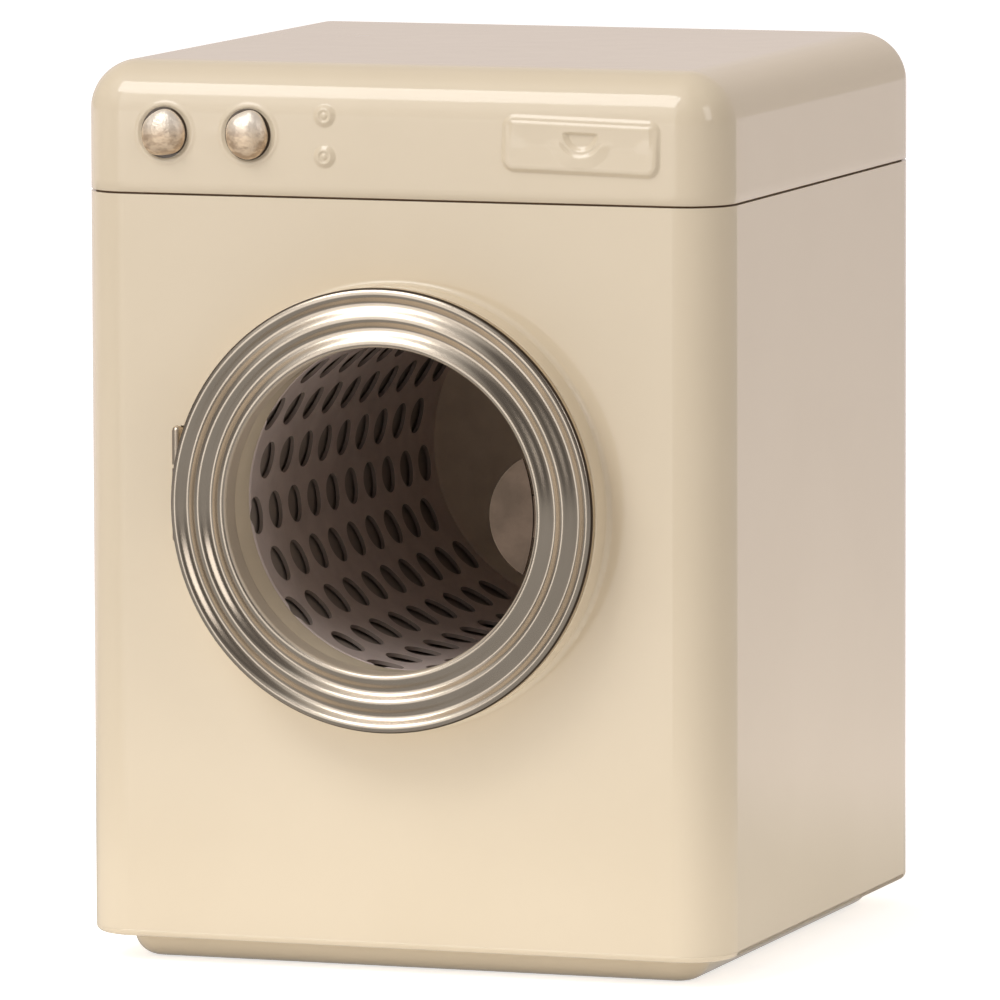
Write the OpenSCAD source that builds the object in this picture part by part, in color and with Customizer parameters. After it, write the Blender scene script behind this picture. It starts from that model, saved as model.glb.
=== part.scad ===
// Toy washing machine in pressed sheet steel, with a beaded porthole door, a perforated drum and two dials.
// The origin is the middle of the plinth's underside, +Z is up and the front faces -Y. All sizes are in millimetres.

/* [Cabinet] */
// Width of the cabinet
cabinet_w = 100; // [94:1:110]
// Depth of the cabinet
cabinet_d = 97.2; // [96:0.1:110]
// Height of the body shell, from its bottom edge up to the seam
body_h = 110.5; // [107:0.1:120]
// Height of the top cover, from the seam up to its crown
cover_h = 19.5; // [18:0.1:24]
// Radius of the upright corners and of the cover's top edge
corner_r = 7.5; // [6:0.1:9]
// Thickness of the sheet steel
sheet_t = 0.7; // [0.5:0.05:0.8]
// Open seam between the body shell and the top cover
seam_gap = 0.3; // [0.2:0.05:0.5]
// Radius of the bend along the body's bottom edge
hem_r = 1; // [0.9:0.1:1.4]
// Width of the sheet beside the window in the cabinet's back
return_w = 9; // [7:0.5:12]
// Height of the hidden frame that joins the cover to the body
frame_h = 9; // [7:0.5:12]

/* [Plinth] */
// Height of the plinth below the body
plinth_h = 3.9; // [3.8:0.1:5]
// How far the plinth stands back from the cabinet's faces
plinth_inset = 5; // [4.9:0.1:7]
// Radius of the plinth's upright corners
plinth_corner_r = 5; // [4:0.1:7]
// Radius of the plinth's lower edge
plinth_edge_r = 3.7; // [2:0.1:3.8]

/* [Porthole] */
// Height of the drum's axis above the body's bottom edge
drum_z = 65.7; // [60:0.1:70]
// Radius of the round boss drawn up from the front
boss_r = 32.6; // [32.4:0.1:34]
// Height of the boss
boss_h = 5.6; // [5.2:0.1:6.4]
// Radius of the bend round the boss's rim
boss_edge_r = 0.9; // [0.8:0.1:1.6]
// How far the collar round the porthole reaches behind the front
collar_depth = 4.4; // [3:0.1:4.6]

/* [Door] */
// Outer radius of the door ring
ring_r = 32.7; // [32.3:0.1:34]
// Radius of the opening in the door ring
ring_hole_r = 24; // [23.8:0.1:24.4]
// Thickness of the door's sheet metal
door_t = 0.5; // [0.4:0.05:0.6]
// Depth of the door, from its back to its flat bands
door_depth = 1.1; // [1:0.1:1.8]
// Running gap between the closed door and the boss
door_gap = 0.3; // [0.2:0.05:0.4]
// Radius of the bead that rolls over into the opening
lip_bead_r = 24.7; // [24.6:0.1:24.9]
// Radius of the ring's middle bead
middle_bead_r = 28.2; // [27.6:0.1:28.8]
// Radius of the bead that rolls over into the skirt
outer_bead_r = 31.8; // [31.4:0.1:32]
// Half width of each bead
bead_half_w = 1.15; // [1:0.05:1.25]
// Height of the beads over the flat bands
bead_h = 0.7; // [0.5:0.05:0.8]
// How far the ring's inner flange reaches back into the collar
flange_reach = 2; // [1:0.1:3]
// Radius of the finger tab's inner arc
tab_arc_r = 9.6; // [9:0.1:11]
// Reach of the finger tab into the opening
tab_reach = 7.1; // [6:0.1:8]

/* [Hinge] */
// How far the hinge's axis lies outside the door's rim
hinge_offset = 0.1; // [0:0.05:0.4]
// Distance of the hinge's axis behind the door's back
hinge_drop = 1.9; // [1.7:0.1:2.4]
// Height of the hinge's middle above the drum's axis
hinge_rise = 2.5; // [0:0.1:4]
// Outer radius of the hinge's knuckles
knuckle_r = 0.8; // [0.75:0.05:1]
// Radius of the hinge pin
pin_r = 0.4; // [0.3:0.05:0.4]
// Length of the hinge
hinge_l = 16.2; // [14:0.1:20]
// Length of the door's knuckle
door_knuckle_l = 5.4; // [4:0.1:7]
// Length of the hinge bracket's leaf behind the front
bracket_leaf_l = 7; // [5:0.5:8]

/* [Drum] */
// Inside radius of the drum
drum_r = 25.1; // [24.9:0.05:25.4]
// Thickness of the drum's wall
drum_t = 0.6; // [0.4:0.05:0.6]
// Depth of the drum's mouth behind the front
drum_front = 5; // [4.9:0.1:6]
// Inside length of the drum
drum_l = 81.9; // [78:0.1:82.1]
// Length of the drum's skirt behind its back plate
skirt_l = 2.1; // [1:0.1:2.1]
// Diameter of the holes through the drum
hole_d = 5.6; // [4:0.1:6]
// Spacing of the holes along the drum
hole_pitch = 8.24; // [7.8:0.02:8.4]
// Number of rows of holes round the drum
hole_rows = 20; // [12:2:20]
// Distance from the drum's mouth to its first hole
first_hole = 2.84; // [2.8:0.02:3.2]
// Angle of the first row of holes
row_angle = 7.1; // [0:0.1:18]
// Gap between the drum and the fixed tub round it
tub_gap = 0.5; // [0.4:0.05:0.6]
// Width of the tub's flange behind the boss
tub_flange_w = 4; // [3:0.1:4.4]

/* [Drum bearing] */
// Radius of the drum's shaft
shaft_r = 2; // [1.6:0.1:2.4]
// Running clearance of the shaft, on the radius
shaft_clearance = 0.05; // [0.03:0.01:0.08]
// Radius of the hub behind the drum's back plate
hub_r = 6; // [5:0.1:9]
// Thickness of the bearing bush's wall
bush_t = 1.1; // [0.8:0.1:1.6]
// Length of the bearing bush behind the tub
bush_l = 2.6; // [2:0.1:2.7]
// Width of the bearing bush's flange
bush_flange_w = 2.5; // [2:0.1:4]

/* [Dials] */
// Radius of each dial
knob_r = 3.6; // [3:0.05:3.9]
// How far each dial stands out of the front
knob_h = 2.5; // [2:0.1:3.5]
// Height of each dial's upright rim
knob_rim_h = 0.7; // [0.5:0.05:1]
// Distance of the left dial from the cabinet's left side
knob_edge = 14; // [13:0.1:16]
// Distance between the two dials
knob_spacing = 13.1; // [12:0.1:15]
// Height of the dials above the seam
knob_z = 9.2; // [8:0.1:10]
// Radius of the shallow seat pressed round each dial
seat_r = 4.1; // [4:0.05:4.6]
// Depth of that seat
seat_depth = 0.15; // [0.1:0.05:0.3]
// Radius of each dial's shank
shank_r = 1.1; // [0.9:0.05:1.3]

/* [Pressed relief] */
// Width of the drawer relief
drawer_w = 23.8; // [20:0.1:25]
// Height of the drawer relief
drawer_h = 8.3; // [7.5:0.1:9]
// How far the drawer relief stands proud
drawer_lift = 1; // [0.8:0.1:1.2]
// Corner radius of the drawer relief
drawer_corner_r = 1.5; // [1:0.1:2]
// Distance of the drawer relief from the cabinet's right side
drawer_edge = 9.5; // [9:0.1:12]
// Height of the drawer relief's middle above the seam
drawer_z = 8.7; // [8:0.1:9.5]
// Radius of the half-moon grip pressed into the drawer relief
grip_r = 3.1; // [2.5:0.1:3.3]
// Depth of the half-moon grip
grip_depth = 0.5; // [0.3:0.05:0.6]
// Radius of the two small lamps pressed beside the dials
lamp_r = 1.65; // [1.3:0.05:1.8]
// Height of the lamps over the front
lamp_h = 0.8; // [0.6:0.05:1]
// Distance of the lamps to the left of the cabinet's middle
lamp_x = 11; // [9:0.1:13]
// Distance between the two lamps
lamp_spacing = 6; // [5:0.1:7]

/* [Fasteners] */
// Radius of the rivets' shanks
rivet_r = 0.7; // [0.5:0.05:0.75]
// Radius of the rivets' heads
rivet_head_r = 1.35; // [1.2:0.05:1.45]
// Height of the rivets' heads
rivet_head_h = 0.6; // [0.5:0.05:0.7]

/* [Hidden] */
$fn = 96;

paint = "#dfd0b5";
nickel = "#b3a48c";
dull_steel = "#8d8375";
dark_enamel = "#4b4138";
rose_brass = "#b3927a";
zinc = "#a8a49c";

fit_gap = 0.2;          // between nested pieces that are held by their rivets
part_gap = 0.3;         // between pieces on different bodies
washer_t = 0.4;
cut = 1;                // how far a cutting shape runs past the face it cuts
seam_z = plinth_h + body_h;
total_h = seam_z + cover_h;
inner_w = cabinet_w - 2 * sheet_t;
inner_d = cabinet_d - 2 * sheet_t;
drum_axis_z = plinth_h + drum_z;

door_back = boss_h + door_gap;                  // the door's back, in front of the cabinet's front
band_out = door_back + door_depth;              // the face of the ring's flat bands
flange_r = ring_hole_r + door_t;                // outside of the ring's inner flange
collar_r = flange_r + part_gap;
hinge_x = ring_r + hinge_offset;
hinge_out = door_back - hinge_drop;
hinge_z = drum_axis_z + hinge_rise;
arm_offset = knuckle_r - door_t / 2;            // from the hinge's axis to the middle of the bracket's arms
knuckle_gap = 0.3;
side_knuckle_l = (hinge_l - door_knuckle_l) / 2 - knuckle_gap;
tongue_w = door_knuckle_l - 2 * knuckle_gap;

tub_r = drum_r + drum_t + tub_gap;
plate_depth = drum_front + drum_l;              // the drum's back plate, behind the front
skirt_end = plate_depth + drum_t + skirt_l;
tub_back = skirt_end + 2 * part_gap;
bush_r = shaft_r + shaft_clearance + bush_t;
hub_t = 0.8;
bush_flange_t = 0.8;
bush_end = tub_back + drum_t + bush_l;
clip_depth = bush_end + washer_t + 2 * fit_gap;
clip_t = 0.6;
groove_depth = 0.35;
shaft_end = clip_depth + clip_t + fit_gap;

knob_axis_z = seam_z + knob_z;
left_knob_x = knob_edge - cabinet_w / 2;
right_knob_x = left_knob_x + knob_spacing;

window_w = cabinet_w - 2 * (corner_r + return_w);
panel_lap = return_w - 2.5;                     // how far the back panel lies behind the window's edges
panel_w = window_w + 2 * panel_lap;
panel_z0 = plinth_h + 2 * sheet_t + 1;
panel_z1 = seam_z - frame_h / 2 - 1;
window_z0 = panel_z0 + panel_lap;
window_z1 = panel_z1 - panel_lap;
window_corner_r = 5;
rivet_x = window_w / 2 + panel_lap / 2;
base_hem_w = plinth_inset - fit_gap;

// Flat rectangle with round corners, centred on the origin
module rounded_rect(w, d, r) {
    if (r > 0.01) {
        square([w - 2 * r, d], center = true);
        square([w, d - 2 * r], center = true);
        for (sx = [-1, 1], sy = [-1, 1])
            translate([sx * (w / 2 - r), sy * (d / 2 - r)])
                circle(r = r);
    } else {
        square([w, d], center = true);
    }
}

// Upright block with corner radius r and its lower edge rounded to radius e, standing on the XY plane
module soft_block(w, d, h, r, e) {
    intersection() {
        linear_extrude(h)
            square([w, d], center = true);
        union() {
            translate([0, 0, e])
                linear_extrude(h - e)
                    rounded_rect(w, d, r);
            linear_extrude(e)
                rounded_rect(w - 2 * e, d - 2 * e, r - e);
            for (s = [-1, 1]) {
                translate([-(w / 2 - r), s * (d / 2 - e), e])
                    rotate([0, 90, 0])
                        cylinder(h = w - 2 * r, r = e);
                translate([s * (w / 2 - e), d / 2 - r, e])
                    rotate([90, 0, 0])
                        cylinder(h = d - 2 * r, r = e);
            }
            for (sx = [-1, 1], sy = [-1, 1])
                translate([sx * (w / 2 - r), sy * (d / 2 - r), e]) {
                    if (r - e > 0.01)
                        rotate_extrude()
                            translate([r - e, 0])
                                intersection() {
                                    circle(r = e);
                                    translate([e - r, -2 * e])
                                        square([r, 4 * e]);
                                }
                    else
                        sphere(r = e);
                }
        }
    }
}

// Thin wall that follows the cabinet's outline, with its outside w by d
module wall_ring(w, d, r, t, h) {
    linear_extrude(h)
        difference() {
            rounded_rect(w, d, r);
            rounded_rect(w - 2 * t, d - 2 * t, r - t);
        }
}

// Puts a shape drawn with +Z out of the cabinet's front at x, z on that front
module on_front(x, z) {
    translate([x, -cabinet_d / 2, z])
        rotate([90, 0, 0])
            children();
}

// The same on the cabinet's back
module on_back(x, z) {
    translate([x, cabinet_d / 2, z])
        rotate([90, 0, 180])
            children();
}

// Puts a shape drawn round +Z, out of the front, on the drum's axis
module on_drum_axis() {
    on_front(0, drum_axis_z)
        children();
}

// Half profile of the boss, its rim rounded, from radius zero out to r and up to h
module boss_profile(r, h, e) {
    square([r, h - e]);
    square([r - e, h]);
    translate([r - e, h - e])
        circle(r = e);
}

// Round boss drawn up from the front, with the collar that lines the porthole
module boss() {
    root_r = 0.8;
    rotate_extrude()
        difference() {
            union() {
                translate([0, -sheet_t])
                    boss_profile(boss_r, boss_h + sheet_t, boss_edge_r);
                translate([0, -sheet_t])
                    square([boss_r + root_r, sheet_t + root_r]);
                translate([0, -collar_depth])
                    square([collar_r + sheet_t, collar_depth]);
            }
            translate([boss_r + root_r, root_r])
                circle(r = root_r);
            difference() {
                translate([0, -sheet_t - cut])
                    boss_profile(boss_r - sheet_t, boss_h + cut, boss_edge_r - sheet_t);
                translate([0, -collar_depth])
                    square([collar_r + sheet_t, boss_h + collar_depth]);
            }
            translate([0, -collar_depth - cut])
                square([collar_r, boss_h + collar_depth + 2 * cut]);
        }
}

// Two slots in the front, one for each arm of the hinge bracket
module hinge_slots() {
    for (s = [-1, 1])
        on_front(-hinge_x - arm_offset, hinge_z + s * (hinge_l - side_knuckle_l) / 2)
            translate([0, 0, -sheet_t / 2])
                cube([door_t + 2 * fit_gap, side_knuckle_l + 2 * fit_gap, sheet_t + 2 * cut], center = true);
}

// Notch in the rim of the boss, where the hinge lies
module hinge_notch() {
    reach = knuckle_r + part_gap;
    on_front(-hinge_x, hinge_z)
        translate([-2 * reach, -hinge_l / 2 - part_gap, hinge_out - reach])
            cube([3 * reach, hinge_l + 2 * part_gap, boss_h]);
}

module back_rivet_holes() {
    for (p = back_rivet_places())
        on_back(p[0], p[1])
            translate([0, 0, -2 * sheet_t - cut])
                cylinder(h = 3 * sheet_t + 2 * cut, r = rivet_r);
}

function back_rivet_places() = [
    for (s = [-1, 1], k = [0, 1, 2])
        [s * rivet_x, window_z0 + window_corner_r + k * ((window_z1 - window_z0) / 2 - window_corner_r)]
];

// The base rivets stand under the sides, halfway between the hem's edge and the pan rim's edge
function base_rivet_places() = [
    for (sx = [-1, 1], sy = [-1, 1])
        [sx * (cabinet_w - base_hem_w - sheet_t - fit_gap - hem_r) / 2, sy * cabinet_d / 4]
];

function cover_rivet_places() = [for (s = [-1, 1]) [s * rivet_x, seam_z + frame_h / 4]];

module cabinet_shell() {
    color(paint)
        difference() {
            union() {
                difference() {
                    translate([0, 0, plinth_h])
                        soft_block(cabinet_w, cabinet_d, body_h, corner_r, hem_r);
                    translate([0, 0, plinth_h + sheet_t])
                        soft_block(inner_w, inner_d, body_h, corner_r - sheet_t, hem_r - sheet_t);
                    translate([0, 0, plinth_h - cut])
                        linear_extrude(sheet_t + 2 * cut)
                            rounded_rect(cabinet_w - 2 * base_hem_w, cabinet_d - 2 * base_hem_w, plinth_corner_r);
                    on_back(0, (window_z0 + window_z1) / 2)
                        translate([0, 0, -sheet_t - cut])
                            linear_extrude(sheet_t + 2 * cut)
                                rounded_rect(window_w, window_z1 - window_z0, window_corner_r);
                    on_drum_axis()
                        translate([0, 0, -sheet_t - cut])
                            cylinder(h = sheet_t + 2 * cut, r = boss_r);
                }
                on_drum_axis()
                    boss();
            }
            hinge_slots();
            hinge_notch();
            back_rivet_holes();
            for (p = base_rivet_places())
                translate([p[0], p[1], plinth_h - cut])
                    cylinder(h = sheet_t + 2 * cut, r = rivet_r);
        }
}

// Block that rises from the front by lift, with round corners and a rounded rim, its back at depth below it
module relief_block(w, h, r, lift, e, depth) {
    translate([0, 0, lift])
        mirror([0, 0, 1])
            soft_block(w, h, lift + depth, r, e);
}

// Half disc with its flat side up
module half_moon(r, h) {
    linear_extrude(h)
        intersection() {
            circle(r = r);
            translate([-r, -r])
                square([2 * r, r]);
        }
}

// Shallow dome of radius r and height h, cut off at depth below the front
module lamp_dome(r, h, depth) {
    ball_r = (r * r + h * h) / (2 * h);
    intersection() {
        translate([0, 0, h - ball_r])
            sphere(r = ball_r);
        translate([-2 * r, -2 * r, -depth])
            cube([4 * r, 4 * r, h + depth + cut]);
    }
}

module lamps(r, h, depth) {
    for (s = [-1, 1])
        on_front(-lamp_x, knob_axis_z + s * lamp_spacing / 2)
            lamp_dome(r, h, depth);
}

drawer_x = cabinet_w / 2 - drawer_edge - drawer_w / 2;
drawer_axis_z = seam_z + drawer_z;
grip_z = drawer_axis_z + drawer_h / 4;
relief_edge_r = 0.8;

// Outside of the top cover, its relief standing proud
module cover_outside() {
    translate([0, 0, total_h])
        mirror([0, 0, 1])
            soft_block(cabinet_w, cabinet_d, cover_h - seam_gap, corner_r, corner_r);
    on_front(drawer_x, drawer_axis_z)
        relief_block(drawer_w, drawer_h, drawer_corner_r, drawer_lift, relief_edge_r, sheet_t / 2);
    lamps(lamp_r, lamp_h, sheet_t / 2);
}

// Hollow of the top cover, which follows the outside at one sheet's distance
module cover_inside() {
    difference() {
        union() {
            translate([0, 0, total_h - sheet_t])
                mirror([0, 0, 1])
                    soft_block(inner_w, inner_d, cover_h + cut, corner_r - sheet_t, corner_r - sheet_t);
            on_front(drawer_x, drawer_axis_z)
                translate([0, 0, -sheet_t])
                    relief_block(drawer_w - 2 * sheet_t, drawer_h - 2 * sheet_t, drawer_corner_r - sheet_t,
                        drawer_lift, relief_edge_r - sheet_t, sheet_t);
        }
        on_front(drawer_x, grip_z)
            translate([0, sheet_t, drawer_lift - grip_depth - sheet_t])
                half_moon(grip_r + sheet_t, grip_depth + sheet_t);
        for (x = [left_knob_x, right_knob_x])
            on_front(x, knob_axis_z)
                translate([0, 0, -sheet_t - seat_depth])
                    cylinder(h = sheet_t, r = seat_r + sheet_t);
    }
}

module top_cover() {
    color(paint)
        difference() {
            cover_outside();
            cover_inside();
            on_front(drawer_x, grip_z)
                translate([0, 0, drawer_lift - grip_depth])
                    half_moon(grip_r, grip_depth + cut);
            for (x = [left_knob_x, right_knob_x])
                on_front(x, knob_axis_z) {
                    translate([0, 0, -seat_depth])
                        cylinder(h = seat_depth + cut, r = seat_r);
                    translate([0, 0, -seat_depth - sheet_t - cut])
                        cylinder(h = sheet_t + 2 * cut, r = shank_r + shaft_clearance);
                }
            for (p = cover_rivet_places())
                on_back(p[0], p[1])
                    translate([0, 0, -sheet_t - cut])
                        cylinder(h = sheet_t + 2 * cut, r = rivet_r);
        }
}

// Band behind the seam, which lies against the body below it and the cover above it
module cover_frame() {
    color(zinc)
        difference() {
            translate([0, 0, seam_z - frame_h / 2])
                wall_ring(inner_w, inner_d, corner_r - sheet_t, sheet_t, frame_h);
            for (p = cover_rivet_places())
                on_back(p[0], p[1])
                    translate([0, 0, -2 * sheet_t - cut])
                        cylinder(h = 3 * sheet_t + 2 * cut, r = rivet_r);
        }
}

// Back panel behind the window's edges, its middle pressed out until it lies flush with them
module back_panel() {
    panel_h = panel_z1 - panel_z0;
    field_w = window_w - 2 * sheet_t;
    field_h = window_z1 - window_z0 - 2 * sheet_t;
    field_r = window_corner_r - sheet_t;
    color(paint)
        difference() {
            on_back(0, (panel_z0 + panel_z1) / 2)
                difference() {
                    union() {
                        translate([0, 0, -2 * sheet_t])
                            linear_extrude(sheet_t)
                                rounded_rect(panel_w, panel_h, 2);
                        translate([0, 0, -sheet_t * 1.5])
                            linear_extrude(sheet_t * 1.5)
                                rounded_rect(field_w, field_h, field_r);
                    }
                    translate([0, 0, -2 * sheet_t - cut])
                        linear_extrude(sheet_t + cut)
                            rounded_rect(field_w - 2 * sheet_t, field_h - 2 * sheet_t, field_r - sheet_t);
                }
            back_rivet_holes();
        }
}

// Pressed pan that makes the plinth, its rim resting on the body's turned-in hem
module base_pan() {
    pan_w = cabinet_w - 2 * plinth_inset;
    pan_d = cabinet_d - 2 * plinth_inset;
    rim_z = plinth_h + sheet_t;
    color(paint)
        difference() {
            union() {
                soft_block(pan_w, pan_d, rim_z + sheet_t, plinth_corner_r, plinth_edge_r);
                translate([0, 0, rim_z])
                    linear_extrude(sheet_t)
                        rounded_rect(inner_w - 2 * fit_gap - 2 * hem_r, inner_d - 2 * fit_gap - 2 * hem_r,
                            corner_r - sheet_t - hem_r);
            }
            translate([0, 0, sheet_t])
                soft_block(pan_w - 2 * sheet_t, pan_d - 2 * sheet_t, rim_z + 2 * sheet_t,
                    plinth_corner_r - sheet_t, plinth_edge_r - sheet_t);
            for (p = base_rivet_places())
                translate([p[0], p[1], rim_z - cut])
                    cylinder(h = sheet_t + 2 * cut, r = rivet_r);
        }
}

// Rivet with a domed head above z = 0 and its shank closed over a stack of the given height below
module rivet(stack) {
    translate([0, 0, -stack])
        cylinder(h = stack, r = rivet_r);
    lamp_dome(rivet_head_r, rivet_head_h, 0);
    translate([0, 0, -stack - rivet_head_h / 2])
        cylinder(h = rivet_head_h / 2, r = rivet_r + 0.4);
}

module back_rivets() {
    color(zinc)
        for (p = back_rivet_places())
            on_back(p[0], p[1])
                rivet(2 * sheet_t);
}

module cover_rivets() {
    color(zinc)
        for (p = cover_rivet_places())
            on_back(p[0], p[1])
                rivet(2 * sheet_t);
}

module base_rivets() {
    color(zinc)
        for (p = base_rivet_places())
            translate([p[0], p[1], plinth_h])
                mirror([0, 0, 1])
                    rivet(2 * sheet_t);
}

// Fixed tub round the drum, hung by its flange behind the boss
module tub() {
    flange_out = boss_h - sheet_t;
    color(dark_enamel)
        on_drum_axis()
            rotate_extrude()
                difference() {
                    union() {
                        translate([0, -tub_back - drum_t])
                            square([tub_r + drum_t, tub_back + drum_t + flange_out]);
                        translate([0, flange_out - drum_t])
                            square([tub_r + tub_flange_w, drum_t]);
                    }
                    translate([0, -tub_back])
                        square([tub_r, tub_back + flange_out + cut]);
                    translate([0, -tub_back - drum_t - cut])
                        square([bush_r, drum_t + 2 * cut]);
                }
}

// Flanged bush in the tub's back that carries the drum's shaft
module bearing_bush() {
    front_end = plate_depth + drum_t + hub_t + part_gap;
    color(rose_brass)
        on_drum_axis()
            rotate_extrude()
                difference() {
                    union() {
                        translate([0, -bush_end])
                            square([bush_r, bush_end - front_end]);
                        translate([0, -tub_back - drum_t - bush_flange_t])
                            square([bush_r + bush_flange_w, bush_flange_t]);
                    }
                    translate([0, -bush_end - cut])
                        square([shaft_r + shaft_clearance, bush_end]);
                }
}

// Knuckle of the hinge, its axis upright
module knuckle(l) {
    difference() {
        cylinder(h = l, r = knuckle_r, center = true);
        cylinder(h = l + 2 * cut, r = pin_r + shaft_clearance, center = true);
    }
}

module on_hinge_axis() {
    translate([-hinge_x, -cabinet_d / 2 - hinge_out, hinge_z])
        children();
}

// Fixed half of the hinge: two knuckles whose arms pass through the front to a leaf behind it
module hinge_bracket() {
    reach = hinge_out + sheet_t + door_t;
    color(nickel)
        on_hinge_axis() {
            for (s = [-1, 1])
                translate([0, 0, s * (hinge_l - side_knuckle_l) / 2]) {
                    knuckle(side_knuckle_l);
                    difference() {
                        translate([-knuckle_r, 0, -side_knuckle_l / 2])
                            cube([door_t, reach, side_knuckle_l]);
                        cylinder(h = side_knuckle_l + 2 * cut, r = pin_r + shaft_clearance, center = true);
                    }
                }
            translate([door_t - knuckle_r - bracket_leaf_l, hinge_out + sheet_t, -hinge_l / 2])
                cube([bracket_leaf_l, door_t, hinge_l]);
        }
}

module hinge_pin() {
    head_r = knuckle_r - 0.05;
    head_h = 0.6;
    color(nickel)
        on_hinge_axis() {
            cylinder(h = hinge_l, r = pin_r, center = true);
            for (s = [0, 1])
                mirror([0, 0, s])
                    translate([0, 0, hinge_l / 2])
                        lamp_dome(head_r, head_h, 0);
        }
}

// Half profile of the stamped door ring: flat bands, three raised beads, skirt and inner flange
module ring_profile() {
    beads = [lip_bead_r, middle_bead_r, outer_bead_r];
    bead_ball_r = (bead_half_w * bead_half_w + bead_h * bead_h) / (2 * bead_h);
    difference() {
        intersection() {
            union() {
                translate([ring_hole_r, band_out - door_t])
                    square([ring_r - ring_hole_r, door_t]);
                for (r = beads)
                    translate([r, band_out + bead_h - bead_ball_r])
                        intersection() {
                            circle(r = bead_ball_r);
                            translate([-bead_ball_r, bead_ball_r - bead_h - door_t])
                                square([2 * bead_ball_r, bead_h + door_t + cut]);
                        }
            }
            translate([ring_hole_r, door_back])
                square([ring_r - ring_hole_r, door_depth + bead_h + cut]);
        }
        for (r = beads)
            translate([r, band_out + bead_h - bead_ball_r])
                circle(r = bead_ball_r - door_t);
    }
    translate([ring_r - door_t, door_back])
        square([door_t, door_depth]);
    translate([ring_hole_r, boss_h - flange_reach])
        square([door_t, band_out - boss_h + flange_reach]);
}

// Stamped door ring, its skirt notched for the hinge's tongue
module door_ring() {
    color(nickel)
        difference() {
            on_drum_axis()
                rotate_extrude()
                    ring_profile();
            on_front(-ring_r, hinge_z)
                translate([-cut, -tongue_w / 2 - fit_gap, door_back - cut])
                    cube([cut + 3 * door_t, tongue_w + 2 * fit_gap, door_t + cut + fit_gap]);
        }
}

// Flat plate behind the ring, its tongue bent back and curled into the door's knuckle
module door_back_plate() {
    color(dull_steel)
        difference() {
            union() {
                on_drum_axis()
                    translate([0, 0, door_back])
                        linear_extrude(door_t)
                            difference() {
                                circle(r = ring_r - door_t);
                                circle(r = flange_r);
                            }
                on_front(-hinge_x, hinge_z) {
                    translate([knuckle_r - door_t, -tongue_w / 2, hinge_out])
                        cube([door_t, tongue_w, hinge_drop + door_t]);
                    translate([knuckle_r - door_t, -tongue_w / 2, door_back])
                        cube([tongue_w / 2, tongue_w, door_t]);
                }
                on_hinge_axis()
                    cylinder(h = tongue_w, r = knuckle_r, center = true);
            }
            on_hinge_axis()
                cylinder(h = tongue_w + 2 * cut, r = pin_r + shaft_clearance, center = true);
        }
}

// Lens-shaped finger tab in the opening, with a foot seated on the ring's inner flange
module finger_tab() {
    lens_r = ring_hole_r - 0.4;
    arc_x = ring_hole_r - tab_reach + tab_arc_r;
    foot_w = 6;
    color(dull_steel)
        on_drum_axis() {
            translate([0, 0, band_out - fit_gap])
                linear_extrude(door_t)
                    intersection() {
                        circle(r = lens_r);
                        translate([arc_x, 0])
                            circle(r = tab_arc_r);
                    }
            translate([0, 0, boss_h - flange_reach])
                linear_extrude(band_out - boss_h + flange_reach)
                    intersection() {
                        difference() {
                            circle(r = ring_hole_r);
                            circle(r = ring_hole_r - 1);
                        }
                        translate([0, -foot_w / 2])
                            square([ring_r, foot_w]);
                    }
        }
}

// Depths of the holes in one row, counted from the drum's mouth; odd rows start half a pitch later
function hole_depths(odd) = [
    for (d = first_hole + (odd ? hole_pitch / 2 : 0); d + hole_d / 2 < drum_l - 1; d = d + hole_pitch)
        d
];

// Rolled drum shell with staggered rows of round holes and a hem round its mouth
module drum_shell() {
    hem = 0.45;
    color(dull_steel)
        on_drum_axis()
            difference() {
                union() {
                    translate([0, 0, -skirt_end])
                        linear_extrude(skirt_end - drum_front)
                            difference() {
                                circle(r = drum_r + drum_t);
                                circle(r = drum_r);
                            }
                    rotate_extrude()
                        translate([drum_r + drum_t - hem, -drum_front - hem])
                            circle(r = hem);
                }
                for (row = [0 : hole_rows - 1], depth = hole_depths(row % 2 == 1))
                    rotate([0, 0, row_angle + row * 360 / hole_rows])
                        translate([drum_r - cut, 0, -drum_front - depth])
                            rotate([0, 90, 0])
                                cylinder(h = drum_t + 2 * cut, d = hole_d);
            }
}

// Cupped back plate, its rim against the inside of the drum shell
module drum_back_plate() {
    color(dull_steel)
        on_drum_axis()
            rotate_extrude()
                difference() {
                    translate([0, -skirt_end])
                        square([drum_r, skirt_end - plate_depth]);
                    translate([0, -skirt_end - cut])
                        square([drum_r - drum_t, skirt_l + cut]);
                }
}

module drum_hub() {
    color(zinc)
        on_drum_axis()
            translate([0, 0, -plate_depth - drum_t - hub_t])
                linear_extrude(hub_t)
                    difference() {
                        circle(r = hub_r);
                        circle(r = shaft_r);
                    }
}

module drum_shaft() {
    color(zinc)
        on_drum_axis()
            difference() {
                translate([0, 0, -shaft_end])
                    cylinder(h = shaft_end - plate_depth - drum_t, r = shaft_r);
                translate([0, 0, -clip_depth - clip_t])
                    linear_extrude(clip_t)
                        difference() {
                            circle(r = shaft_r + cut);
                            circle(r = shaft_r - groove_depth);
                        }
            }
}

module shaft_washer() {
    color(zinc)
        on_drum_axis()
            translate([0, 0, -bush_end - fit_gap - washer_t])
                linear_extrude(washer_t)
                    difference() {
                        circle(r = bush_r + 0.6);
                        circle(r = shaft_r + shaft_clearance);
                    }
}

// Open clip in the shaft's groove
module shaft_clip() {
    color(zinc)
        on_drum_axis()
            translate([0, 0, -clip_depth - clip_t])
                linear_extrude(clip_t)
                    difference() {
                        circle(r = shaft_r + 1);
                        circle(r = shaft_r - groove_depth);
                        translate([-(shaft_r - groove_depth) * 0.8, -shaft_r - 2])
                            square([(shaft_r - groove_depth) * 1.6, shaft_r + 2]);
                    }
}

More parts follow.
